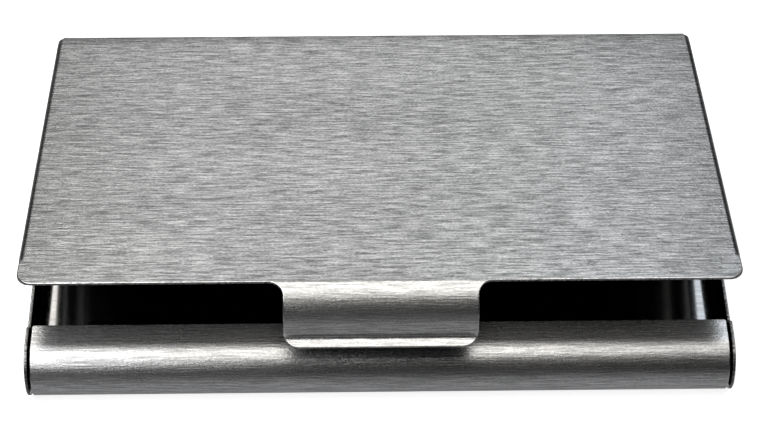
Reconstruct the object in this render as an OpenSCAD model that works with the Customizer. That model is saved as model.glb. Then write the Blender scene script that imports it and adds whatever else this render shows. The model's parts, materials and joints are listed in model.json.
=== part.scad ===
// Business card case folded from thin brushed stainless sheet: a tray with a rolled front and
// two side walls, and a lid with a snap tab that turns on two rivets inside the walls.
// Origin: centre of the tray's underside. +X is to the right, -Y is the front, +Z is up.

/* [Tray] */
// Width over the side walls
case_w = 93; // [88:0.5:100]
// Depth from the rolled front to the rear end of the side walls
case_d = 60; // [57:0.5:66]
// Height of the rolled front and of the end plates beside it
case_h = 8.6; // [8.2:0.1:9.4]
// Thickness of the sheet
sheet = 0.4; // [0.3:0.05:0.45]
// Depth of the flat lip on top of the rolled front
lip_d = 2.95; // [2:0.05:4]
// Gap between the rolled front and each end plate
end_gap = 0.35; // [0.3:0.05:0.45]
// How much lower the side walls are behind the end plates
wall_step = 1.1; // [0.7:0.1:1.3]
// Outer radius of the bend between the floor and a side wall
floor_bend_r = 0.9; // [0.7:0.1:1.2]

/* [Lid] */
// Angle between the lid and its closed position
lid_angle = 12.5; // [0:0.5:45]
// Distance from the front of the tray back to the flat front edge of the lid
lid_setback = 2.3; // [2:0.1:2.6]
// Gap under the closed lid
lid_gap = 0.05; // [0.05:0.05:0.15]
// Radius of the lid's front corners
lid_corner_r = 2.1; // [1:0.1:3]
// How far the front corners stand back from the sides of the tray
wing_inset = 0.2; // [0:0.05:0.3]
// How far the side flanges stand back from the sides of the tray
flange_inset = 0; // [0:0.02:0.2]
// Outer radius of the bend between the lid and a side flange
flange_bend_r = 0.84; // [0.46:0.02:0.9]
// Outer radius of the bend between the lid and its rear wall
rear_bend_r = 0.8; // [0.8:0.1:1.6]

/* [Snap tab] */
// Width of the tab
tab_w = 24.9; // [15:0.1:40]
// Outer radius of the tab's main bend
tab_r = 5.2; // [5.1:0.05:5.4]
// Length of the straight stretch under the main bend
tab_straight_l = 1.05; // [0.6:0.05:1.2]
// Outer radius of the inward curl under the straight stretch
tab_curl_r = 2; // [1.6:0.1:2.4]
// Angle where the curl ends, from straight up towards the front
tab_curl_angle = 112; // [100:1:112]
// Slope of the flared edge below horizontal
tab_flare_angle = 36; // [25:1:45]
// Length of the flared edge
tab_flare_l = 1; // [0.5:0.05:1.2]
// Radius of the tab's lower corners
tab_corner_r = 2; // [1:0.1:2.4]
// Radius of the fillets where the tab leaves the lid
tab_fillet_r = 2; // [0.8:0.1:2]

/* [Hinge] */
// Distance from the rear of the tray to the hinge axis
hinge_setback = 3; // [2.8:0.1:3.2]
// Diameter of the hinge rivets where the lid turns on them
rivet_d = 2; // [1.6:0.1:2.2]
// Radial clearance of the lid on the rivets
rivet_clear = 0.05; // [0.03:0.01:0.08]
// Thickness of the friction spring
spring_t = 0.3; // [0.2:0.05:0.35]
// Width of the friction spring
spring_w = 2.6; // [2.2:0.1:3]

/* [Hidden] */
$fn = 96;

// Tray
nose_r = case_h / 2;
nose_y = -case_d / 2 + nose_r;
lip_y = nose_y + lip_d;
rear_y = case_d / 2;
wall_h = case_h - wall_step;
wall_in_x = case_w / 2 - sheet;
nose_half_w = wall_in_x - end_gap;
plate_corner_r = 0.6;
wall_rear_foot_r = 1.5;

// Hinge
hinge_y = rear_y - hinge_setback;
hinge_z = nose_r;
ear_r = 2.5;
ear_front_y = hinge_y - 6.4;
ear_front_z = hinge_z - 0.9;
ear_top_gap = 0.15;
rivet_fit = 0.02;
rivet_head_d = 3.4;
rivet_head_h = 0.45;
rivet_collar_d = 3;
rivet_tail_h = 0.4;
play = 0.05;

// Lid in its closed position
lid_z = case_h + lid_gap;
lid_top = lid_z + sheet;
lid_front_y = -case_d / 2 + lid_setback;
flange_front_y = lip_y + 0.35;
flange_rear_y = rear_y - rear_bend_r - 0.1;
flange_out_x = case_w / 2 - flange_inset;
flange_low_z = wall_h + 0.1;
rear_wall_low_z = hinge_z - 2.3;
ear_bend_r = 0.6;

// Snap tab: its main bend starts below the lid's surface by tab_start_angle
tab_center_y = nose_y + 0.1;
tab_start_angle = asin((tab_center_y - lid_front_y) / tab_r);
tab_center_z = lid_top - tab_r * cos(tab_start_angle);
tab_curl_y = tab_center_y - tab_r + tab_curl_r;
tab_curl_z = tab_center_z - tab_straight_l;
tab_hollow_r = 0.9;
tab_hollow_reach = tab_curl_r + tab_hollow_r - sheet;
tab_hollow_y = tab_curl_y - tab_hollow_reach * sin(tab_curl_angle);
tab_hollow_z = tab_curl_z + tab_hollow_reach * cos(tab_curl_angle);
tab_low_z = tab_hollow_z - tab_hollow_r * cos(tab_flare_angle) - tab_flare_l * sin(tab_flare_angle);
tab_half_w = tab_w / 2;

// Friction spring
spring_y = ear_front_y + 0.2;
spring_half_w = nose_half_w - sheet - play;
spring_top_z = hinge_z + 1.2;
spring_bend_r = 0.8;
spring_rivet_x = 15;
spring_rivet_d = 1.2;
spring_rivet_head_d = 2.1;
spring_rivet_head_h = 0.3;

big = 2 * case_w;

// Puts a drawing of the side view, with Y across and Z up, between two X positions
module side_prism(x0, x1) {
    translate([x0, 0, 0]) rotate([90, 0, 90]) linear_extrude(x1 - x0) children();
}

// Puts a drawing of the front view, with X across and Z up, between two Y positions
module front_prism(y0, y1) {
    translate([0, y1, 0]) rotate([90, 0, 0]) linear_extrude(y1 - y0) children();
}

// Puts a drawing of the plan, with X across and Y up, between two heights
module plan_prism(z0, z1) {
    translate([0, 0, z0]) linear_extrude(z1 - z0) children();
}

module rect(x0, y0, x1, y1) {
    translate([x0, y0]) square([x1 - x0, y1 - y0]);
}

// Rectangle whose two lower corners are round
module round_foot_rect(x0, y0, x1, y1, r) {
    rect(x0, y0 + r, x1, y1);
    rect(x0 + r, y0, x1 - r, y1);
    translate([x0 + r, y0 + r]) circle(r);
    translate([x1 - r, y0 + r]) circle(r);
}

// Sector of a ring, drawn from angle a0 to a1 measured from straight up towards the front
module bend_sector(y, z, r_out, thickness, a0, a1) {
    reach = 3 * r_out;
    mid = (a0 + a1) / 2;
    translate([y, z]) intersection() {
        difference() {
            circle(r_out);
            circle(r_out - thickness);
        }
        polygon([[0, 0], [-reach * sin(a0), reach * cos(a0)],
                 [-reach * sin(mid), reach * cos(mid)], [-reach * sin(a1), reach * cos(a1)]]);
    }
}

module x_bore(d, x0, x1) {
    translate([x0, hinge_y, hinge_z]) rotate([0, 90, 0]) cylinder(h = x1 - x0, d = d);
}

// ---- Tray ----

// Side view of a side wall with the full-height end plate in front
module wall_outline() {
    translate([nose_y, nose_r]) circle(nose_r);
    difference() {
        rect(nose_y, 0, lip_y, case_h);
        rect(lip_y - plate_corner_r, case_h - plate_corner_r, lip_y + 1, case_h + 1);
    }
    translate([lip_y - plate_corner_r, case_h - plate_corner_r]) circle(plate_corner_r);
    intersection() {
        union() {
            rect(nose_y, 0, hinge_y, wall_h);
            translate([hinge_y, hinge_z]) circle(wall_h - hinge_z);
            rect(hinge_y, wall_rear_foot_r, rear_y + 1, hinge_z);
            rect(hinge_y, 0, rear_y - wall_rear_foot_r, hinge_z);
            translate([rear_y - wall_rear_foot_r, wall_rear_foot_r]) circle(wall_rear_foot_r);
        }
        rect(nose_y, 0, rear_y, case_h);
    }
}

// Front view of the folded floor and walls
module channel_section() {
    difference() {
        round_foot_rect(-case_w / 2, 0, case_w / 2, case_h, floor_bend_r);
        round_foot_rect(-wall_in_x, sheet, wall_in_x, case_h + 1, floor_bend_r - sheet);
    }
}

// Side view of the rolled front with its flat lip
module nose_profile() {
    bend_sector(nose_y, nose_r, nose_r, sheet, 0, 90);
    bend_sector(nose_y, nose_r, nose_r, sheet, 90, 180);
    rect(nose_y, case_h - sheet, lip_y, case_h);
    rect(nose_y, 0, nose_y + 1, sheet);
}

module tray() {
    color("silver") difference() {
        union() {
            intersection() {
                front_prism(nose_y, rear_y) channel_section();
                side_prism(-big, big) wall_outline();
            }
            for (side = [-1, 1])
                side_prism(side > 0 ? wall_in_x : -case_w / 2, side > 0 ? case_w / 2 : -wall_in_x)
                    intersection() {
                        wall_outline();
                        rect(-case_d, 0, nose_y, case_h);
                    }
            side_prism(-nose_half_w, nose_half_w) nose_profile();
        }
        // The slot beside the rolled front runs on into the floor and ends round
        for (side = [-1, 1])
            plan_prism(-1, nose_r) {
                translate([side * (wall_in_x - end_gap / 2), nose_y + end_gap]) circle(end_gap / 2);
                translate([side * (wall_in_x - end_gap / 2) - end_gap / 2, nose_y - end_gap])
                    square([end_gap, 2 * end_gap]);
            }
        x_bore(rivet_d + 2 * rivet_fit, -big, big);
        for (side = [-1, 1])
            translate([side * spring_rivet_x, spring_y + spring_w / 2, -1])
                cylinder(h = 3, d = spring_rivet_d + 2 * rivet_fit);
    }
}

// ---- Lid, drawn closed ----

// Front view of the lid's flat with its two side flanges
module lid_section() {
    difference() {
        rotate(180) translate([0, -lid_top])
            round_foot_rect(-flange_out_x, 0, flange_out_x, lid_top - flange_low_z, flange_bend_r);
        rotate(180) translate([0, -lid_top])
            round_foot_rect(-flange_out_x + sheet, sheet, flange_out_x - sheet,
                            lid_top, flange_bend_r - sheet);
    }
}

// Plan of the flat front of the lid, as wide as the tray, with round corners
module lid_front_plan() {
    half_w = case_w / 2 - wing_inset;
    rect(-half_w, lid_front_y + lid_corner_r, half_w, flange_front_y);
    rect(-half_w + lid_corner_r, lid_front_y, half_w - lid_corner_r, flange_front_y);
    for (side = [-1, 1])
        translate([side * (half_w - lid_corner_r), lid_front_y + lid_corner_r]) circle(lid_corner_r);
}

// Side view of the bend at the rear and the rear wall
module rear_profile() {
    rect(flange_rear_y - 1, lid_z, rear_y - rear_bend_r, lid_top);
    bend_sector(rear_y - rear_bend_r, lid_top - rear_bend_r, rear_bend_r, sheet, -90, 0);
    rect(rear_y - sheet, rear_wall_low_z, rear_y, lid_top - rear_bend_r);
}

// Side view of an ear: a round about the hinge axis with a forward lobe
module ear_outline() {
    ear_top = lid_z - ear_top_gap;
    translate([hinge_y, hinge_z]) circle(ear_r);
    rect(ear_front_y + 1, ear_front_z, hinge_y, ear_top);
    rect(ear_front_y, ear_front_z + 1, hinge_y, ear_top - 1);
    translate([ear_front_y + 1, ear_front_z + 1]) circle(1);
    translate([ear_front_y + 1, ear_top - 1]) circle(1);
    rect(hinge_y, rear_wall_low_z, rear_y, lid_top - rear_bend_r);
}

// Plan of the rear wall with the ears folded forward from its ends
module ear_plan() {
    half_w = nose_half_w;
    difference() {
        rotate(180) translate([0, -rear_y])
            round_foot_rect(-half_w, 0, half_w, rear_y - ear_front_y, ear_bend_r);
        rotate(180) translate([0, -rear_y])
            round_foot_rect(-half_w + sheet, sheet, half_w - sheet, case_d, ear_bend_r - sheet);
    }
}

// Side view of the snap tab: main bend, straight stretch, inward curl, hollow and flared edge
module tab_profile() {
    bend_sector(tab_center_y, tab_center_z, tab_r, sheet, tab_start_angle, 60);
    bend_sector(tab_center_y, tab_center_z, tab_r, sheet, 60, 90);
    rect(tab_center_y - tab_r, tab_curl_z, tab_center_y - tab_r + sheet, tab_center_z);
    bend_sector(tab_curl_y, tab_curl_z, tab_curl_r, sheet, 90, tab_curl_angle);
    bend_sector(tab_hollow_y, tab_hollow_z, tab_hollow_r, sheet,
                180 + tab_flare_angle, 180 + tab_curl_angle);
    translate([tab_hollow_y, tab_hollow_z]) rotate(tab_flare_angle)
        rect(-tab_flare_l, -tab_hollow_r, 0, sheet - tab_hollow_r);
}

// Plan of the tab, with a fillet on each side where it leaves the lid
module tab_plan() {
    rect(-tab_half_w, -case_d, tab_half_w, lid_front_y + 0.2);
    difference() {
        rect(-tab_half_w - tab_fillet_r, lid_front_y - tab_fillet_r,
             tab_half_w + tab_fillet_r, lid_front_y + 0.2);
        for (side = [-1, 1])
            translate([side * (tab_half_w + tab_fillet_r), lid_front_y - tab_fillet_r])
                circle(tab_fillet_r);
    }
}

// Front view of the tab, with its two lower corners round
module tab_front() {
    round_foot_rect(-tab_half_w, tab_low_z, tab_half_w, tab_center_z + 1, tab_corner_r);
    rect(-tab_w, tab_center_z, tab_w, 2 * case_h);
}

module snap_tab() {
    intersection() {
        side_prism(-tab_w, tab_w) tab_profile();
        plan_prism(-case_h, 2 * case_h) tab_plan();
        front_prism(-case_d, case_d) tab_front();
    }
}

module closed_lid() {
    difference() {
        union() {
            front_prism(flange_front_y, flange_rear_y) lid_section();
            plan_prism(lid_z, lid_top) lid_front_plan();
            side_prism(-nose_half_w, nose_half_w) rear_profile();
            intersection() {
                plan_prism(0, lid_top - rear_bend_r) ear_plan();
                side_prism(-big, big) ear_outline();
            }
            snap_tab();
        }
        x_bore(rivet_d + 2 * rivet_clear, -big, big);
    }
}

module lid() {
    color("gainsboro")
        translate([0, hinge_y, hinge_z]) rotate([-lid_angle, 0, 0])
            translate([0, -hinge_y, -hinge_z]) closed_lid();
}

// ---- Rivets and spring ----

// Rivet on the right side: head outside the wall, collar between wall and ear, tail inside
module hinge_rivet() {
    ear_in_x = nose_half_w - sheet;
    x_bore(rivet_d, ear_in_x - play - rivet_tail_h, case_w / 2 + 0.05);
    x_bore(rivet_collar_d, nose_half_w + play, wall_in_x);
    x_bore(rivet_collar_d, ear_in_x - play - rivet_tail_h, ear_in_x - play);
    translate([case_w / 2, hinge_y, hinge_z]) rotate([0, 90, 0]) {
        cylinder(h = rivet_head_h / 2, d = rivet_head_d);
        translate([0, 0, rivet_head_h / 2])
            cylinder(h = rivet_head_h / 2, d1 = rivet_head_d, d2 = rivet_head_d - 1);
    }
}

module hinge_rivet_right() {
    color("darkgray") hinge_rivet();
}

module hinge_rivet_left() {
    color("darkgray") mirror([1, 0, 0]) hinge_rivet();
}

// Flat strip on the floor whose two ends turn up against the ears
module friction_spring() {
    color("slategray") difference() {
        front_prism(spring_y, spring_y + spring_w) translate([0, sheet]) difference() {
            round_foot_rect(-spring_half_w, 0, spring_half_w, spring_top_z - sheet, spring_bend_r);
            round_foot_rect(-spring_half_w + spring_t, spring_t, spring_half_w - spring_t,
                            case_h, spring_bend_r - spring_t);
        }
        for (side = [-1, 1])
            translate([side * spring_rivet_x, spring_y + spring_w / 2, -1])
                cylinder(h = 3, d = spring_rivet_d + 2 * rivet_fit);
    }
}

module spring_rivet(side) {
    color("dimgray") translate([side * spring_rivet_x, spring_y + spring_w / 2, 0]) {
        cylinder(h = sheet + spring_t, d = spring_rivet_d);
        translate([0, 0, sheet + spring_t]) {
            cylinder(h = spring_rivet_head_h / 2, d = spring_rivet_head_d);
            translate([0, 0, spring_rivet_head_h / 2])
                cylinder(h = spring_rivet_head_h / 2, d1 = spring_rivet_head_d,
                         d2 = spring_rivet_head_d - 0.6);
        }
    }
}

module spring_rivet_left() {
    spring_rivet(-1);
}

module spring_rivet_right() {
    spring_rivet(1);
}

tray();
lid();
hinge_rivet_left();
hinge_rivet_right();
friction_spring();
spring_rivet_left();
spring_rivet_right();
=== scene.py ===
"""The looks of the business card case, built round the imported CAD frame.

Each sheet-metal piece is cut as a flat pattern, given its thickness and rounded edges, and then
folded: its points keep their place in the flat pattern as UVs, so the brushed grain runs round
the bends as it does on a real folded sheet. Lengths are in millimetres until a mesh is made.
"""

import json
import math

import bpy
import numpy as np
from mathutils import Matrix, Vector
from mathutils.geometry import delaunay_2d_cdt


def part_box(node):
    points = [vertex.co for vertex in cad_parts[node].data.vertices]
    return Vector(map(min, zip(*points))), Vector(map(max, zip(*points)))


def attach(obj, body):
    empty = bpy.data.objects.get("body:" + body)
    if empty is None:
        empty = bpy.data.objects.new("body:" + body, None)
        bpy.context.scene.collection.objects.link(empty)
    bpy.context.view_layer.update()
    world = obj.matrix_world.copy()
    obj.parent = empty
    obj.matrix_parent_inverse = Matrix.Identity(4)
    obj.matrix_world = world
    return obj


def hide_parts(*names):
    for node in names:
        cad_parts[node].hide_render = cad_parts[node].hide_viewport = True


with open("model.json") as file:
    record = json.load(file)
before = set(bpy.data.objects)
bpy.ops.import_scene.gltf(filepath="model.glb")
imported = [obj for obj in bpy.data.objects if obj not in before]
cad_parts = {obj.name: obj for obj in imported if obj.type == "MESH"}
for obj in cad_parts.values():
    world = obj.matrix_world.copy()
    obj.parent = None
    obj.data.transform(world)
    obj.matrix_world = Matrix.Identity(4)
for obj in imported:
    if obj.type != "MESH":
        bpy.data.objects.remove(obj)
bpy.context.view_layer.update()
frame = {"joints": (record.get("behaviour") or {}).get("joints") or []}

MM = 0.001
QUARTER = math.pi / 2
FLAT_PATTERN = "flat_pattern"


def add_object(name, data):
    piece = bpy.data.objects.new(name, data)
    bpy.context.scene.collection.objects.link(piece)
    return piece


def node_box(node):
    """Lowest and highest corner of a CAD node, in millimetres."""
    low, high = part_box(node)
    return np.array(low) / MM, np.array(high) / MM


# ---- Sizes: the outer ones come from the frame, the rest are the sheet's own bends and cuts ----

tray_low, tray_high = node_box("tray")
spring_low, spring_high = node_box("friction_spring")
hinge = np.array(frame["joints"][0]["pos_m"]) / MM
lid_angle = math.radians(-frame["joints"][0]["range_deg"][0])

half_w = tray_high[0]
front_y, rear_y = tray_low[1], tray_high[1]
case_h = tray_high[2]

sheet = 0.4
# Rounding of the cut edges, at the outer face and at the inner one
burnished_r = 0.14
burr_r = 0.05
# Gaps: beside pieces that turn, and round a rivet in a hole that it fills
play = 0.05
rivet_fit = 0.02

# Tray
nose_r = case_h / 2
nose_y = front_y + nose_r
lip_d = 2.95
lip_y = nose_y + lip_d
end_gap = 0.35
strip_half = half_w - sheet - end_gap
floor_bend_r = 0.55
wall_step = 1.1
wall_h = case_h - wall_step
plate_corner_r = 0.6
wall_foot_r = 1.5

# Lid in its closed position
lid_gap = 0.05
lid_top = case_h + lid_gap + sheet
lid_setback = 2.3
lid_front_y = front_y + lid_setback
lid_corner_r = 2.1
wing_inset = 0.2
flange_front_y = lip_y + 0.35
flange_out_x = half_w
flange_bend_r = 0.84
flange_low_z = wall_h + 0.1
# The lid falls away by lead_in_turn before its rear bend, and the bend of the side flanges
# begins wing_fade_l in front of them
rear_bend_r = 0.8
lead_in_l = 2.4
lead_in_turn = math.radians(7)
wing_fade_l = 1.2
flange_rear_y = rear_y - rear_bend_r - 0.1
rear_wall_low_z = hinge[2] - 2.3

# Ears, folded forward from the ends of the lid's rear wall
ear_bend_r = 0.6
ear_r = 2.5
ear_front_y = hinge[1] - 6.4
ear_low_z = hinge[2] - 0.9
ear_corner_r = 1.0

# Snap tab: a tight root, the main bend, a straight stretch, a curl under, a hollow and a flare
tab_w = 24.9
tab_half = tab_w / 2
tab_center_y = nose_y + 0.1
tab_r = 5.2
tab_straight_l = 1.05
tab_curl_r = 2.0
tab_curl_angle = math.radians(112)
tab_hollow_r = 0.5
tab_flare_angle = math.radians(36)
tab_flare_l = 1.0
tab_root_r = 0.8
tab_corner_r = 2.0
tab_fillet_r = 2.0

# Hinge rivets
rivet_r = 1.0
rivet_clear = 0.05
rivet_head_r = 1.7
rivet_head_h = 0.45
rivet_collar_r = 1.5
rivet_tail_h = 0.4

# Friction spring and its rivets
spring_t = 0.3
spring_gap = 0.01
spring_bend_r = 0.8
spring_rivet_x = 15.0
spring_rivet_y = (spring_low[1] + spring_high[1]) / 2
spring_rivet_r = 0.6
spring_rivet_head_r = 1.05
spring_rivet_head_h = 0.3


# ---- Folding a flat pattern ----

# A point of a flat pattern is (u, v), with u across the sheet from its middle and v from front to
# rear. v is equal to y where the sheet lies flat, on the tray's floor and on the closed lid.

# Material slots of a folded sheet: its two faces, the outer rim of its cut edges, and the cut
OUTER, INNER, BURNISHED, SHEARED = range(4)


class Spine:
    """The side view of a folded sheet: straight and round stretches, measured by their length.

    It begins at the distance start in the direction heading, an angle from +Y towards +Z. Each
    stretch is (length, turn), with the turn in radians in that sense. The spine passes through
    the point (anchor, height) in Y and Z at the distance anchor.
    """

    def __init__(self, start, heading, stretches, anchor, height):
        lengths = np.array([length for length, turn in stretches])
        turns = np.array([turn for length, turn in stretches])
        self.starts = start + np.concatenate([[0], np.cumsum(lengths)[:-1]])
        self.headings = heading + np.concatenate([[0], np.cumsum(turns)[:-1]])
        self.curves = turns / lengths
        steps = self.chord(lengths, self.headings, self.curves)
        self.points = np.concatenate([np.zeros((1, 2)), np.cumsum(steps, 0)[:-1]])
        self.points += np.array([anchor, height]) - self.at(np.array([anchor]))[0][0]

    @staticmethod
    def chord(length, heading, curve):
        """Steps in Y and Z from one end to the other of stretches with the given curvatures."""
        half_turn = curve * length / 2
        reach = length * np.sinc(half_turn / math.pi)
        return np.stack([reach * np.cos(heading + half_turn), reach * np.sin(heading + half_turn)], -1)

    def at(self, v):
        """Points (Y, Z) and headings at the distances v."""
        i = np.clip(np.searchsorted(self.starts, v, side="right") - 1, 0, len(self.starts) - 1)
        length = v - self.starts[i]
        points = self.points[i] + self.chord(length, self.headings[i], self.curves[i])
        return points, self.headings[i] + self.curves[i] * length


def side_bend(u, start, radius, amount=1.0):
    """Sideways place, rise and tilt of points u from the middle, past a bend that begins at start.

    amount is 1 where the bend is a full right angle and 0 where the sheet stays flat.
    """
    length = np.clip(u - start, 0, radius * QUARTER)
    beyond = np.maximum(u - start - radius * QUARTER, 0)
    tilt = amount * length / radius
    reach = length * np.sinc(tilt / 2 / math.pi)
    across = np.minimum(u, start) + reach * np.cos(tilt / 2) + beyond * np.cos(tilt)
    rise = reach * np.sin(tilt / 2) + beyond * np.sin(tilt)
    return across, rise, tilt


def smooth_step(x, start, end):
    t = np.clip((x - start) / (end - start), 0, 1)
    return t * t * (3 - 2 * t)


def arc(center, radius, start, end, step=7.5):
    """Points round a circle, from one angle to another in degrees."""
    count = max(2, math.ceil(abs(end - start) / step) + 1)
    angles = np.radians(np.linspace(start, end, count))
    return [(center[0] + radius * math.cos(a), center[1] + radius * math.sin(a)) for a in angles]


def mirrored(half):
    """A whole outline, counterclockwise, from its right half, which runs from front to rear."""
    return np.array(half + [(-u, v) for u, v in reversed(half)])


def round_hole(center, radius):
    """A round hole. It runs clockwise, so that the sheet is on its left."""
    return np.array(arc(center, radius, 360, 0)[:-1])


def cut_at_lines(loop, u_lines, v_lines, longest=1.5, shortest=0.03, level=0.02):
    """Adds points to a closed loop where it crosses the grid lines, and along its long sides.

    A side that rises by less than level from one end to the other counts as along a grid line.
    """
    points = []
    for a, b in zip(loop, np.roll(loop, -1, 0)):
        run = b - a
        length = np.hypot(*run)
        cuts = [np.linspace(0, 1, math.ceil(length / longest) + 1)[:-1]]
        for axis, lines in ((0, u_lines), (1, v_lines)):
            if abs(run[axis]) > level:
                cuts.append((lines - a[axis]) / run[axis])
        cuts = np.unique(np.concatenate(cuts))
        cuts = cuts[(cuts >= 0) & (cuts < 1)]
        apart = shortest / length
        kept = [0.0]
        for t in cuts:
            if t - kept[-1] > apart and 1 - t > apart:
                kept.append(t)
        points += [a + t * run for t in kept]
    return np.array(points)


def inward(loop):
    """For each point of a loop, the step that moves it one millimetre in from both its sides."""
    ahead = np.roll(loop, -1, 0) - loop
    ahead /= np.linalg.norm(ahead, axis=1)[:, None]
    behind = np.roll(ahead, 1, 0)
    normals = np.stack([-ahead[:, 1] - behind[:, 1], ahead[:, 0] + behind[:, 0]], 1) / 2
    return normals / (normals ** 2).sum(1)[:, None]


def inside(points, loops):
    """Whether each point is in the sheet: within the outline and outside the holes."""
    crossings = np.zeros(len(points), int)
    for loop in loops:
        for a, b in zip(loop, np.roll(loop, -1, 0)):
            spans = (a[1] > points[:, 1]) != (b[1] > points[:, 1])
            with np.errstate(divide="ignore", invalid="ignore"):
                at = a[0] + (points[:, 1] - a[1]) * (b[0] - a[0]) / (b[1] - a[1])
            crossings += spans & (points[:, 0] < at)
    return crossings % 2 == 1


def clearance(points, loops):
    """Distance from each point to the nearest side of the loops."""
    best = np.full(len(points), np.inf)
    for loop in loops:
        for a, b in zip(loop, np.roll(loop, -1, 0)):
            run = b - a
            t = np.clip((points - a) @ run / (run @ run), 0, 1)
            best = np.minimum(best, np.linalg.norm(points - a - t[:, None] * run, axis=1))
    return best


def rim_steps(thickness):
    """Steps round a cut edge, from the outer face to the inner face.

    Each is (distance in from the cut, depth below the outer face, lean of the normal from the
    outer face's). Returns the steps of the burnished rim and those of the burr.
    """
    quarter = np.linspace(0, QUARTER, 4)
    rim = [(burnished_r * (1 - math.sin(a)), burnished_r * (1 - math.cos(a)), a) for a in quarter]
    burr = [(burr_r * (1 - math.sin(a)), thickness - burr_r * (1 - math.cos(a)), math.pi - a)
            for a in reversed(quarter)]
    return rim, burr


def face_triangles(loops, sides, grid):
    """Triangles of a face inside the loops, by the order of the loops' points and the grid's."""
    flat = np.concatenate([*loops, grid])
    _, _, triangles, sources, _, _ = delaunay_2d_cdt([Vector(p) for p in flat], sides, [], 0, 1e-6)
    source = [s[0] for s in sources]
    triangles = np.array([[source[i] for i in t] for t in triangles])
    return triangles[inside(flat[triangles].mean(1), loops)]


def folded(flats, depths, leans, outs, along, out_side, across):
    """Places and normals, once folded, of points given by their places in the flat pattern.

    Each point is depths below the outer face. Its normal leans by leans from that face's, in the
    flat pattern's direction outs. The other values are as in folded_sheet.
    """
    u, v = flats.T
    points, heading = along(np.abs(u), v)
    side = np.where(u < 0, -1.0, 1.0)
    x, rise, tilt = across(np.abs(u), v)
    out = out_side * np.stack([np.sin(heading), -np.cos(heading)], 1)
    normal = np.column_stack([side * np.sin(tilt), out * np.cos(tilt)[:, None]])
    along_u = np.column_stack([np.cos(tilt), -side[:, None] * out * np.sin(tilt)[:, None]])
    along_v = np.column_stack([np.zeros(len(v)), np.cos(heading), np.sin(heading)])
    places = np.column_stack([side * x, points - out * rise[:, None]]) - normal * depths[:, None]
    lean_out = outs[:, :1] * along_u + outs[:, 1:] * along_v
    return places, normal * np.cos(leans)[:, None] + lean_out * np.sin(leans)[:, None]


def folded_sheet(name, loops, u_lines, v_lines, thickness, along, out_side, across):
    """A closed mesh of a sheet with rounded edges, cut to the loops and folded.

    along(u, v) gives the place (Y, Z) and heading on the side view of points u from the middle,
    and across(u, v) their sideways place, rise and tilt. out_side is 1 where the outer face is
    on the right of the heading and -1 where it is on its left.
    """
    loops = [cut_at_lines(loop, u_lines, v_lines) for loop in loops]
    insets = [inward(loop) for loop in loops]
    grid = np.stack(np.meshgrid(u_lines, v_lines), -1).reshape(-1, 2)
    grid = grid[inside(grid, loops)]
    grid = grid[clearance(grid, loops) > 1.5 * burnished_r]

    sides, first = [], 0
    for loop in loops:
        sides += [(first + i, first + (i + 1) % len(loop)) for i in range(len(loop))]
        first += len(loop)
    inner = [loop + inset * burnished_r for loop, inset in zip(loops, insets)]
    triangles = face_triangles(inner, sides, grid)

    rim, burr = rim_steps(thickness)
    outline = np.concatenate(loops)
    step_in = np.concatenate(insets)
    outward = -step_in / np.linalg.norm(step_in, axis=1)[:, None]
    n_edge, n_grid = len(outline), len(grid)
    groups = [(outline + step_in * inset, depth, lean, outward) for inset, depth, lean in rim + burr]
    no_lean = np.zeros((n_grid, 2))
    groups += [(grid, 0, 0, no_lean), (grid, thickness, math.pi, no_lean)]
    flats = np.concatenate([group[0] for group in groups])
    depths = np.concatenate([np.full(len(group[0]), group[1]) for group in groups])
    leans = np.concatenate([np.full(len(group[0]), group[2]) for group in groups])
    outs = np.concatenate([group[3] for group in groups])
    places, normals = folded(flats, depths, leans, outs, along, out_side, across)

    last = len(rim + burr) - 1
    first_grid = (last + 1) * n_edge
    top = np.where(triangles < n_edge, triangles, triangles - n_edge + first_grid)
    bottom = np.where(triangles < n_edge, triangles + last * n_edge,
                      triangles - n_edge + first_grid + n_grid)
    faces = [tuple(t) for t in top] + [tuple(t[::-1]) for t in bottom]
    finishes = [OUTER] * len(top) + [INNER] * len(bottom)
    for ring in range(last):
        finishes += [BURNISHED if ring < len(rim) - 1 else SHEARED] * n_edge
        for a, b in sides:
            faces.append((b + ring * n_edge, a + ring * n_edge,
                          a + (ring + 1) * n_edge, b + (ring + 1) * n_edge))
    if out_side > 0:
        faces = [face[::-1] for face in faces]
    return sheet_object(name, places, faces, normals, flats, finishes)


def sheet_object(name, places, faces, normals, flats, finishes):
    """A Blender object of a folded sheet, with its flat pattern in millimetres as UVs."""
    mesh = bpy.data.meshes.new(name)
    mesh.from_pydata((places * MM).tolist(), [], [tuple(int(i) for i in face) for face in faces])
    mesh.polygons.foreach_set("use_smooth", [True] * len(mesh.polygons))
    mesh.polygons.foreach_set("material_index", finishes)
    uv = mesh.uv_layers.new(name=FLAT_PATTERN)
    corners = np.zeros(len(mesh.loops), int)
    mesh.loops.foreach_get("vertex_index", corners)
    uv.data.foreach_set("uv", flats[corners].ravel())
    mesh.normals_split_custom_set_from_vertices(normals.tolist())
    return add_object(name, mesh)


def spread(*stops):
    """Grid lines between stops, each given as (place, spacing up to the next place)."""
    lines = []
    for (start, spacing), (end, _) in zip(stops, stops[1:]):
        count = max(1, round((end - start) / spacing))
        lines.append(np.linspace(start, end, count, endpoint=False))
    lines.append([stops[-1][0]])
    return np.concatenate(lines)


def both_sides(lines):
    return np.unique(np.concatenate([-lines, lines]))


# ---- Tray ----

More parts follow.
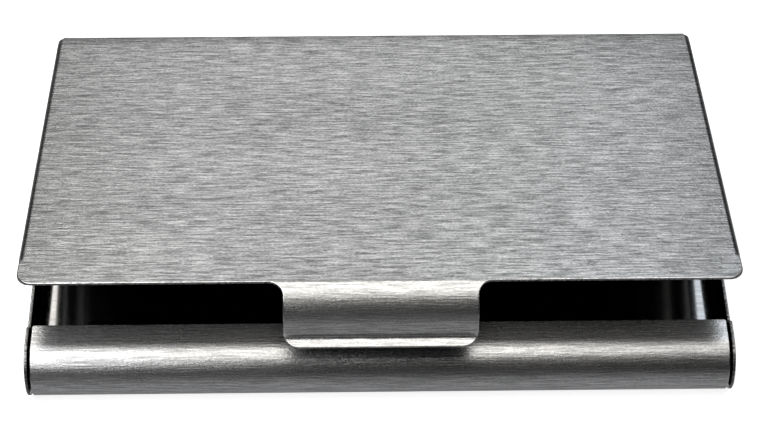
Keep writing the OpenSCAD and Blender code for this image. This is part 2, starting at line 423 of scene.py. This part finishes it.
def build_tray():
    """The tray: its floor and side walls, the roll at the front, and a plate at each end of it.

    A slot parts the roll from each end plate. It ends in the floor, where the walls' bend begins.
    """
    foot_u = half_w - floor_bend_r + floor_bend_r * (QUARTER - 1)

    def wall_u(z):
        return foot_u + z

    roll_v = nose_y - math.pi * nose_r
    lip_v = roll_v - lip_d
    slot_r = (foot_u - strip_half) / 2
    slot_v = nose_y + end_gap
    lip_corner_r = 0.35
    step_fillet_r = 0.3
    wall_fade_l = 1.2
    rounding = 1e-6
    rear_turn = math.degrees(math.asin((rear_y - hinge[1]) / (wall_h - hinge[2])))
    half = [
        *arc((strip_half - lip_corner_r, lip_v + lip_corner_r), lip_corner_r, -90, 0),
        *arc((strip_half + slot_r, slot_v), slot_r, 180, 0, 15),
        *arc((wall_u(nose_r), nose_y), nose_r, 180, 360, 5),
        *arc((wall_u(case_h) - plate_corner_r, lip_y - plate_corner_r), plate_corner_r, 0, 90),
        *arc((wall_u(wall_h) + step_fillet_r, lip_y + step_fillet_r), step_fillet_r, 270, 180, 15),
        *arc((wall_u(hinge[2]), hinge[1]), wall_h - hinge[2], 0, rear_turn),
        *arc((wall_u(wall_foot_r), rear_y - wall_foot_r), wall_foot_r, 90, 180),
    ]
    loops = [mirrored(half)]
    for side in (-1, 1):
        loops.append(round_hole((side * wall_u(hinge[2]), hinge[1]), rivet_r + rivet_fit))
        loops.append(round_hole((side * spring_rivet_x, spring_rivet_y), spring_rivet_r + rivet_fit))

    def across(u, v):
        x, rise, tilt = side_bend(u, half_w - floor_bend_r, floor_bend_r)
        share = smooth_step(v, slot_v, slot_v + wall_fade_l)
        past_foot = np.maximum(u - foot_u, 0)
        across_slot = np.clip((u - strip_half) / (2 * slot_r), 0, 1)
        plate_x = np.minimum(u, strip_half) + (half_w - strip_half) * across_slot
        plate_tilt = np.where(u > foot_u - rounding, QUARTER, 0)
        return (plate_x + (x - plate_x) * share, past_foot + (rise - past_foot) * share,
                plate_tilt + (tilt - plate_tilt) * share)

    rolled = Spine(lip_v, math.pi, [(lip_d, 0), (math.pi * nose_r, math.pi), (2 * rear_y, 0)],
                   nose_y, 0)
    level = Spine(front_y, 0, [(2 * rear_y, 0)], nose_y, 0)

    def along(u, v):
        points, heading = rolled.at(v)
        plate_points, plate_heading = level.at(v)
        in_plate = u > strip_half + slot_r
        return (np.where(in_plate[:, None], plate_points, points),
                np.where(in_plate, plate_heading, heading))

    u_lines = both_sides(spread((0, 1.6), (strip_half, 0.2), (half_w - floor_bend_r, 0.11),
                                (foot_u + floor_bend_r, 1.3), (wall_u(case_h), 1)))
    v_lines = spread((lip_v, 1), (roll_v, nose_r * math.radians(4)), (nose_y, 0.5),
                     (nose_y + 2, 1.6), (rear_y, 1))
    return folded_sheet("card_tray", loops, u_lines, v_lines, sheet, along, 1, across)


# ---- Lid, built closed and then turned about the hinge ----

def build_lid():
    """The lid with its snap tab, side flanges, rear wall and ears."""
    # How far each bend turns, and where it begins along the flat pattern
    start_angle = math.asin((tab_center_y - lid_front_y) / tab_r)
    root_turn = start_angle + tab_root_r * math.tan(start_angle / 2) / tab_r
    flat_front = lid_front_y + tab_root_r * math.tan(root_turn / 2)
    root_v = flat_front - tab_root_r * root_turn
    main_turn = QUARTER - root_turn
    curl_turn = tab_curl_angle - QUARTER
    hollow_turn = tab_curl_angle - tab_flare_angle
    main_v = root_v - tab_r * main_turn
    curl_v = main_v - tab_straight_l - tab_curl_r * curl_turn
    hollow_v = curl_v - tab_hollow_r * hollow_turn
    tip_v = hollow_v - tab_flare_l
    rear_v = rear_y - rear_bend_r
    lead_in_v = rear_v - lead_in_l
    fold_turn = QUARTER - lead_in_turn
    fold_r = rear_bend_r / (1 - math.sin(lead_in_turn))
    wall_v = rear_v + fold_r * fold_turn
    wall_top_z = (lid_top - lead_in_l * math.sin(lead_in_turn / 2)
                  - fold_r * math.cos(lead_in_turn))
    wall_low_v = wall_v + wall_top_z - rear_wall_low_z
    spine = Spine(tip_v, tab_flare_angle,
                  [(tab_flare_l, 0), (tab_hollow_r * hollow_turn, hollow_turn),
                   (tab_curl_r * curl_turn, -curl_turn), (tab_straight_l, 0),
                   (tab_r * main_turn, -main_turn), (tab_root_r * root_turn, -root_turn),
                   (lead_in_v - flat_front, 0), (lead_in_l, -lead_in_turn),
                   (fold_r * fold_turn, -fold_turn), (case_h, 0)], flat_front, lid_top)

    flange_start = flange_out_x - flange_bend_r
    flange_u = flange_start + flange_bend_r * QUARTER + lid_top - flange_bend_r - flange_low_z
    ear_start = strip_half - ear_bend_r
    ear_flat_u = ear_start + ear_bend_r * QUARTER

    # On the ears, u runs on towards the front and v runs down
    def ear_u(y):
        return ear_flat_u + rear_y - ear_bend_r - y

    def ear_v(z):
        return wall_v + wall_top_z - z

    pivot = (ear_u(hinge[1]), ear_v(hinge[2]))
    lobe_turn = math.degrees(math.asin((hinge[2] - ear_low_z) / ear_r))
    low_turn = 180 - math.degrees(math.asin((hinge[2] - rear_wall_low_z) / ear_r))
    wing_u = half_w - wing_inset
    small_r = 0.25
    ear_top_r = 0.8
    ear_fade_l = 0.6
    half = [
        *arc((tab_half - tab_corner_r, tip_v + tab_corner_r), tab_corner_r, -90, 0),
        *arc((tab_half + tab_fillet_r, lid_front_y - tab_fillet_r), tab_fillet_r, 180, 90),
        *arc((wing_u - lid_corner_r, lid_front_y + lid_corner_r), lid_corner_r, -90, 0),
        *arc((wing_u + small_r, flange_front_y - small_r), small_r, 180, 90, 15),
        *arc((flange_u - small_r, flange_front_y + small_r), small_r, -90, 0, 15),
        *arc((flange_u - small_r, flange_rear_y - small_r), small_r, 0, 90, 15),
        *arc((strip_half + small_r, flange_rear_y + small_r), small_r, 270, 180, 15),
        *arc((strip_half + small_r, wall_v - small_r), small_r, 180, 90, 15),
        *arc((ear_u(ear_front_y) - ear_top_r, wall_v + ear_top_r), ear_top_r, -90, 0),
        *arc((ear_u(ear_front_y) - ear_corner_r, ear_v(ear_low_z) - ear_corner_r),
             ear_corner_r, 0, 90),
        *arc(pivot, ear_r, lobe_turn, low_turn),
    ]
    loops = [mirrored(half)]
    for side in (-1, 1):
        loops.append(round_hole((side * pivot[0], pivot[1]), rivet_r + rivet_clear))

    def across(u, v):
        is_ear = v > rear_v
        amount = np.where(is_ear, smooth_step(v, wall_v - ear_fade_l, wall_v),
                          smooth_step(v, flange_front_y - wing_fade_l, flange_front_y))
        start = np.where(is_ear, ear_start, flange_start)
        radius = np.where(is_ear, ear_bend_r, flange_bend_r)
        return side_bend(u, start, radius, amount)

    u_lines = both_sides(spread((0, 1.6), (ear_start, ear_bend_r * QUARTER / 8),
                                (flange_start, flange_bend_r * QUARTER / 8),
                                (flange_start + flange_bend_r * QUARTER, 1.2),
                                (ear_u(ear_front_y), 1)))
    v_lines = spread((tip_v, 0.6), (hollow_v, tab_hollow_r * hollow_turn / 9),
                     (curl_v, tab_curl_r * curl_turn / 6), (main_v - tab_straight_l, 0.5),
                     (main_v, tab_r * math.radians(3)), (root_v, tab_root_r * root_turn / 6),
                     (flat_front, 0.5), (flange_front_y - wing_fade_l, wing_fade_l / 10),
                     (flange_front_y, 0.25), (flange_front_y + 0.5, 1.6), (lead_in_v, 0.3),
                     (rear_v, fold_r * fold_turn / 14),
                     (wall_v, 1.3), (wall_low_v + 0.2, 1))
    lid = folded_sheet("hinged_lid", loops, u_lines, v_lines, sheet,
                       lambda u, v: spine.at(v), -1, across)
    to_hinge = Matrix.Translation(Vector(hinge) * MM)
    turn = to_hinge @ Matrix.Rotation(-lid_angle, 4, "X") @ to_hinge.inverted()
    normals = [turn.to_3x3() @ corner.vector for corner in lid.data.corner_normals]
    lid.data.transform(turn)
    lid.data.normals_split_custom_set(normals)
    return lid


# ---- Friction spring ----

def build_spring():
    """A strip across the floor with both ends turned up against the lid's ears."""
    low_z = spring_low[2] + spring_gap
    start = spring_high[0] - spring_bend_r
    top_u = start + spring_bend_r * QUARTER + spring_high[2] - low_z - spring_bend_r
    corner_r = 0.7
    half = [
        *arc((top_u - corner_r, spring_low[1] + corner_r), corner_r, -90, 0),
        *arc((top_u - corner_r, spring_high[1] - corner_r), corner_r, 0, 90),
    ]
    loops = [mirrored(half)]
    for side in (-1, 1):
        loops.append(round_hole((side * spring_rivet_x, spring_rivet_y), spring_rivet_r + rivet_fit))
    spine = Spine(spring_low[1], 0, [(spring_high[1] - spring_low[1], 0)], spring_low[1], low_z)
    u_lines = both_sides(spread((0, 1.2), (start, spring_bend_r * QUARTER / 9),
                                (start + spring_bend_r * QUARTER, 0.9), (top_u, 1)))
    v_lines = spread((spring_low[1], 0.65), (spring_high[1], 1))
    return folded_sheet("friction_strip", loops, u_lines, v_lines, spring_t,
                        lambda u, v: spine.at(v), 1,
                        lambda u, v: side_bend(u, start, spring_bend_r))


# ---- Rivets ----

def turned(name, profile, origin, axis):
    """A turned piece: a profile of (radius, distance along the axis) from one end to the other."""
    count = 64
    places, faces = [], []
    for radius, along in profile[1:-1]:
        for i in range(count):
            a = 2 * math.pi * i / count
            places.append((radius * math.cos(a), radius * math.sin(a), along))
    rings = len(profile) - 2
    for ring in range(rings - 1):
        for i in range(count):
            j = (i + 1) % count
            faces.append((ring * count + i, ring * count + j,
                          (ring + 1) * count + j, (ring + 1) * count + i))
    for (radius, along), ring, order in ((profile[0], 0, -1), (profile[-1], rings - 1, 1)):
        center = len(places)
        places.append((0, 0, along))
        for i in range(count):
            j = (i + 1) % count
            face = (center, ring * count + i, ring * count + j)
            faces.append(face[::order])
    mesh = bpy.data.meshes.new(name)
    mesh.from_pydata([[c * MM for c in p] for p in places], [], faces)
    mesh.transform(Matrix.Translation(Vector(origin) * MM)
                   @ Vector(axis).to_track_quat("Z", "Y").to_matrix().to_4x4())
    mesh.polygons.foreach_set("use_smooth", [True] * len(mesh.polygons))
    mesh.set_sharp_from_angle(angle=math.radians(35))
    return add_object(name, mesh)


def dome(radius, base, height, count=9):
    """Profile points of a low dome from its rim at base to its top."""
    ball = (radius ** 2 + height ** 2) / (2 * height)
    reach = math.asin(radius / ball)
    angles = np.linspace(reach, 0, count)
    return [(ball * math.sin(a), base + height - ball * (1 - math.cos(a))) for a in angles]


def build_hinge_rivet(name, side):
    """Domed head outside the wall, collar between wall and ear, upset tail inside the ear."""
    tail_seat = strip_half - sheet - play
    tail_end = tail_seat - rivet_tail_h
    soft = 0.08
    chamfer = 0.05
    rim_h = 0.13
    profile = [
        (0, tail_end),
        (rivet_collar_r - 0.25, tail_end),
        (rivet_collar_r - soft, tail_end + soft),
        (rivet_collar_r, tail_end + 2.4 * soft),
        (rivet_collar_r, tail_seat - soft),
        (rivet_collar_r - soft, tail_seat),
        (rivet_r, tail_seat),
        (rivet_r, strip_half + play),
        (rivet_collar_r, strip_half + play),
        (rivet_collar_r, half_w - sheet),
        (rivet_r, half_w - sheet),
        (rivet_r, half_w),
        (rivet_head_r - chamfer, half_w),
        (rivet_head_r, half_w + chamfer),
        *dome(rivet_head_r, half_w + rim_h, rivet_head_h - rim_h),
    ]
    return turned(name, profile, (0, hinge[1], hinge[2]), (side, 0, 0))


def build_spring_rivet(name, side):
    """Domed head on the spring, with the shank peened nearly flush under the tray."""
    spring_top_z = spring_low[2] + spring_t
    seat = spring_top_z + spring_gap
    recess = 0.02
    chamfer = 0.04
    dome_z = seat + 2 * chamfer
    profile = [
        (0, recess),
        (spring_rivet_r - 0.1, recess),
        (spring_rivet_r, recess + 0.05),
        (spring_rivet_r, seat),
        (spring_rivet_head_r - chamfer, seat),
        (spring_rivet_head_r, seat + chamfer),
        *dome(spring_rivet_head_r, dome_z, spring_top_z + spring_rivet_head_h - dome_z),
    ]
    return turned(name, profile, (side * spring_rivet_x, spring_rivet_y, 0), (0, 0, 1))


# ---- Materials ----

class Nodes:
    """Makes and joins the nodes of a material or of the world."""

    def __init__(self, owner, shader):
        owner.use_nodes = True
        self.owner = owner
        self.tree = owner.node_tree
        self.shader = self.tree.nodes[shader]

    def add(self, kind, **values):
        node = self.tree.nodes.new(kind)
        for key, value in values.items():
            setattr(node, key, value)
        return node

    def link(self, source, target):
        self.tree.links.new(source, target)

    def drive(self, name, source):
        """Links a socket to the shader's input of that name."""
        self.link(source, self.shader.inputs[name])

    def flat_uv(self):
        """Places in the flat pattern, in millimetres."""
        return self.add("ShaderNodeUVMap", uv_map=FLAT_PATTERN).outputs["UV"]

    def axis(self, name, source):
        axes = self.add("ShaderNodeSeparateXYZ")
        self.link(source, axes.inputs["Vector"])
        return axes.outputs[name]

    def stretched_noise(self, source, scale, seed, detail, roughness):
        """Noise whose scale, per unit of the source, differs along each axis."""
        mapping = self.add("ShaderNodeMapping")
        mapping.inputs["Scale"].default_value = scale
        mapping.inputs["Location"].default_value = (seed, seed * 1.7, seed * 2.3)
        self.link(source, mapping.inputs["Vector"])
        noise = self.add("ShaderNodeTexNoise")
        noise.inputs["Scale"].default_value = 1.0
        noise.inputs["Detail"].default_value = detail
        noise.inputs["Roughness"].default_value = roughness
        self.link(mapping.outputs["Vector"], noise.inputs["Vector"])
        return noise.outputs["Fac"]

    def mixed(self, first, second, share):
        """A share of second in first. Each of the three is a socket or a number."""
        mix = self.add("ShaderNodeMix", data_type="FLOAT")
        factor, float_a, float_b = mix.inputs[0], mix.inputs[2], mix.inputs[3]
        for value, target in ((share, factor), (first, float_a), (second, float_b)):
            if isinstance(value, bpy.types.NodeSocket):
                self.link(value, target)
            else:
                target.default_value = value
        return mix.outputs[0]

    def ranged(self, source, low, high, to_low, to_high):
        node = self.add("ShaderNodeMapRange")
        ends = {"From Min": low, "From Max": high, "To Min": to_low, "To Max": to_high}
        for key, value in ends.items():
            node.inputs[key].default_value = value
        self.link(source, node.inputs["Value"])
        return node.outputs["Result"]

    def coloured(self, source, stops):
        ramp = self.add("ShaderNodeValToRGB")
        elements = ramp.color_ramp.elements
        while len(elements) < len(stops):
            elements.new(0.5)
        for element, (position, colour) in zip(elements, stops):
            element.position = position
            element.color = (*colour, 1)
        self.link(source, ramp.inputs["Fac"])
        return ramp.outputs["Color"]

    def along_grain(self, strength):
        """Stretches the highlights across the flat pattern's U."""
        self.shader.inputs["Anisotropic"].default_value = strength
        self.shader.inputs["Anisotropic Rotation"].default_value = 0.25
        tangent = self.add("ShaderNodeTangent", direction_type="UV_MAP", uv_map=FLAT_PATTERN)
        self.drive("Tangent", tangent.outputs["Tangent"])

    def bump(self, height, depth):
        """Relief of the given depth in millimetres."""
        node = self.add("ShaderNodeBump")
        node.inputs["Strength"].default_value = 1.0
        node.inputs["Distance"].default_value = depth * MM
        self.link(height, node.inputs["Height"])
        self.drive("Normal", node.outputs["Normal"])


def new_material(name, metallic=0.0):
    m = Nodes(bpy.data.materials.new(name), "Principled BSDF")
    m.shader.inputs["Metallic"].default_value = metallic
    return m


def grey(shade, blue=1.0):
    """A grey whose blue is blue times its red and green."""
    return shade, shade, shade * blue


def brushed_steel(name, seed, flat_from):
    """Brushed stainless steel: hairlines along the flat pattern's U, stretched highlights across.

    In front of flat_from, where the sheet was rolled or curled, the brushing is rubbed smoother.
    """
    m = new_material(name, metallic=1.0)
    uv = m.flat_uv()
    hairlines = m.stretched_noise(uv, (0.28, 3.6, 1), seed, 3, 0.6)
    scratches = m.stretched_noise(uv, (2.2, 5.0, 1), seed + 3, 3, 0.6)
    streaks = m.stretched_noise(uv, (0.09, 2.6, 1), seed + 5, 3, 0.6)
    clouds = m.stretched_noise(uv, (0.03, 0.09, 1), seed + 9, 2, 0.5)
    lines = m.mixed(hairlines, scratches, 0.35)
    grain = m.mixed(m.mixed(lines, streaks, 0.12), clouds, 0.06)
    contrast = m.ranged(m.axis("Y", uv), flat_from - 1, flat_from + 1, 0.4, 0.93)
    shade = m.mixed(0.5, grain, contrast)
    m.drive("Base Color", m.coloured(shade, [(0.415, (0.24, 0.242, 0.244)),
                                             (0.5, (0.54, 0.543, 0.546)),
                                             (0.585, (0.92, 0.922, 0.925))]))
    m.drive("Roughness", m.ranged(grain, 0.4, 0.6, 0.29, 0.25))
    m.along_grain(0.82)
    m.bump(lines, 0.05)
    return m.owner


def mill_steel(name, seed):
    """The unbrushed inner face: nearly a mirror, with faint rolling marks."""
    m = new_material(name, metallic=1.0)
    marks = m.stretched_noise(m.flat_uv(), (0.12, 1.6, 1), seed, 4, 0.6)
    m.drive("Base Color", m.coloured(marks, [(0.35, grey(0.27)), (0.65, grey(0.33))]))
    m.drive("Roughness", m.ranged(marks, 0.35, 0.65, 0.11, 0.07))
    m.along_grain(0.4)
    m.bump(marks, 0.001)
    return m.owner


def burnished_steel(name, seed):
    """The outer rim of a cut edge, rubbed bright."""
    m = new_material(name, metallic=1.0)
    wear = m.stretched_noise(m.flat_uv(), (1.2, 1.2, 1), seed, 4, 0.7)
    m.drive("Base Color", m.coloured(wear, [(0.36, grey(0.42)), (0.56, grey(0.90))]))
    m.drive("Roughness", m.ranged(wear, 0.35, 0.6, 0.34, 0.16))
    return m.owner


def cut_steel_with_painted_shade(name, seed):
    """The sheared edge of the sheet: dull and speckled, which is its own look, with painted shade in a
    colour far darker than steel, so the cut edges stay dark as if shaded.
    """
    m = new_material(name, metallic=1.0)
    speckles = m.stretched_noise(m.flat_uv(), (3.5, 3.5, 1), seed, 3, 0.6)
    # Painted shade: near black to dark grey, far darker than steel, keeps the cut edges and the wall
    # tops under the lid dark as if shaded; only the speckle is the cut's own
    m.drive("Base Color", m.coloured(speckles, [(0.4, grey(0.07)), (0.62, grey(0.38))]))
    m.drive("Roughness", m.ranged(speckles, 0.35, 0.65, 0.6, 0.4))
    return m.owner


def plain_steel(name, seed):
    """Plain steel of the rivets and the spring, with faint handling marks."""
    m = new_material(name, metallic=1.0)
    place = m.add("ShaderNodeTexCoord").outputs["Object"]
    marks = m.stretched_noise(place, (2600, 2600, 2600), seed, 4, 0.6)
    clouds = m.stretched_noise(place, (500, 500, 500), seed + 3, 3, 0.5)
    both = m.mixed(marks, clouds, 0.4)
    m.drive("Base Color", m.coloured(both, [(0.3, (0.34, 0.34, 0.345)), (0.7, (0.62, 0.62, 0.625))]))
    m.drive("Roughness", m.ranged(both, 0.3, 0.7, 0.38, 0.24))
    m.bump(marks, 0.003)
    return m.owner


# ---- The pieces ----

lid_steel = brushed_steel("lid_steel_finish", 3.0, lid_front_y)
tray_steel = brushed_steel("tray_steel_finish", 41.0, nose_y)
rivet_steel = plain_steel("rivet_steel_finish", 7.0)
spring_steel = plain_steel("spring_steel_finish", 23.0)
inner_steel = mill_steel("inner_face_finish", 17.0)
rim_steel = burnished_steel("rubbed_rim_finish", 29.0)
# The sheared edges get painted shade: a near-black colour standing in for the shade on the cut edges
sheared_steel_painted_shade = cut_steel_with_painted_shade("sheared_edge_with_painted_shade", 13.0)

sheets = [
    (build_tray(), "case", "tray", "tray_steel", tray_steel, inner_steel),
    (build_lid(), "lid", "lid", "lid_steel", lid_steel, inner_steel),
    (build_spring(), "case", "friction_spring", "spring_steel", spring_steel, spring_steel),
]
rivets = [
    (build_hinge_rivet("hinge_pin_left", -1), "hinge_rivet_left"),
    (build_hinge_rivet("hinge_pin_right", 1), "hinge_rivet_right"),
    (build_spring_rivet("spring_pin_left", -1), "spring_rivet_left"),
    (build_spring_rivet("spring_pin_right", 1), "spring_rivet_right"),
]
for piece, body, node, slot, outer, inner in sheets:
    for material in (outer, inner, rim_steel, sheared_steel_painted_shade):
        piece.data.materials.append(material)
    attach(piece, body)
    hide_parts(node)
for piece, node in rivets:
    piece.data.materials.append(rivet_steel)
    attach(piece, "case")
    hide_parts(node)


# ---- Stage ----

def build_floor():
    """A pale floor that looks white to the camera, and that the steel doesn't mirror."""
    half = 3.0
    mesh = bpy.data.meshes.new("studio_floor")
    mesh.from_pydata([(-half, -half, 0), (half, -half, 0), (half, half, 0), (-half, half, 0)],
                     [], [(0, 1, 2, 3)])
    floor = add_object("studio_floor", mesh)
    m = new_material("studio_floor_paper")
    place = m.add("ShaderNodeTexCoord").outputs["Object"]
    speckle = m.stretched_noise(place, (400, 400, 400), 2.0, 3, 0.5)
    m.drive("Base Color", m.coloured(speckle, [(0.3, grey(0.80)), (0.7, grey(0.83))]))
    m.shader.inputs["Roughness"].default_value = 0.9
    m.shader.inputs["Emission Color"].default_value = (1, 1, 1, 1)
    m.shader.inputs["Emission Strength"].default_value = 0.8
    mesh.materials.append(m.owner)
    floor.visible_glossy = False


def softbox(name, shape, place, size, brightness, colour):
    """An area light whose face, the XY plane of the matrix place, has the given radiance."""
    light = bpy.data.lights.new(name, "AREA")
    light.shape = shape
    light.size, light.size_y = size
    light.energy = brightness * math.pi * size[0] * size[1]
    light.color = colour
    if shape == "ELLIPSE":
        light.energy *= math.pi / 4
    add_object(name, light).matrix_world = place


def build_lights():
    """Five panels overhead, brighter towards the left, and a round softbox behind."""
    panel_z = 0.40
    white = (1, 1, 1)
    cream = (1, 0.97, 0.92)
    pale_cream = (1, 0.97, 0.94)
    cool = (0.86, 0.93, 1)
    panels = [
        ("middle_panel", (-0.075, -0.21), (0.07, 0.11), 2.45, cream),
        ("left_panel", (-0.28, -0.45), (-0.075, 0.16), 2.75, white),
        ("right_panel", (0.07, -0.20), (0.25, 0.16), 1.4, pale_cream),
        ("left_rear_panel", (-0.28, 0.16), (-0.075, 0.34), 2.9, cream),
        ("right_rear_panel", (0.07, 0.16), (0.25, 0.34), 2.3, cool),
    ]
    for name, low, high, brightness, colour in panels:
        center = ((low[0] + high[0]) / 2, (low[1] + high[1]) / 2, panel_z)
        size = (high[0] - low[0], high[1] - low[1])
        softbox(name, "RECTANGLE", Matrix.Translation(center), size, brightness, colour)
    behind = Matrix.Translation((0.008, 0.386, 0.232)) @ Matrix.Rotation(math.radians(-59), 4, "X")
    softbox("rear_softbox", "ELLIPSE", behind, (0.26, 0.30), 0.85, white)


def build_world():
    """Surroundings by height: a dim grey table below the horizon, and nearly black above it."""
    world = bpy.data.worlds.new("studio_world")
    m = Nodes(world, "Background")
    direction = m.add("ShaderNodeTexCoord").outputs["Generated"]
    height = m.ranged(m.axis("Z", direction), -1, 1, 0, 1)
    shades = [(0.0, 0.32), (0.12, 0.37), (0.25, 0.30), (0.41, 0.17), (0.475, 0.08), (0.5, 0.012),
              (1.0, 0.012)]
    m.drive("Color", m.coloured(height, [(place, grey(shade, 1.02)) for place, shade in shades]))
    bpy.context.scene.world = world


def build_camera():
    """The photograph's view: from the front, about 50 degrees up, from 0.3 m away."""
    yaw, elevation, roll = (math.radians(a) for a in (1.33, 50.24, 0.54))
    target = Vector((0.40, 0, 2.66)) * MM
    distance = 306.97 * MM
    ahead = Vector((math.sin(yaw) * math.cos(elevation), math.cos(yaw) * math.cos(elevation),
                    -math.sin(elevation)))
    right = ahead.cross(Vector((0, 0, 1))).normalized()
    up = right.cross(ahead)
    camera = bpy.data.cameras.new("photo_camera")
    camera.lens = 103.48
    camera.sensor_width = 36
    camera.clip_start = 0.01
    eye = add_object("photo_camera", camera)
    turned_right = right * math.cos(roll) + up * math.sin(roll)
    turned_up = up * math.cos(roll) - right * math.sin(roll)
    eye.matrix_world = (Matrix.Translation(target - ahead * distance)
                        @ Matrix((turned_right, turned_up, -ahead)).transposed().to_4x4())
    bpy.context.scene.camera = eye


build_floor()
build_lights()
build_world()
build_camera()
bpy.context.scene.view_settings.view_transform = "Standard"
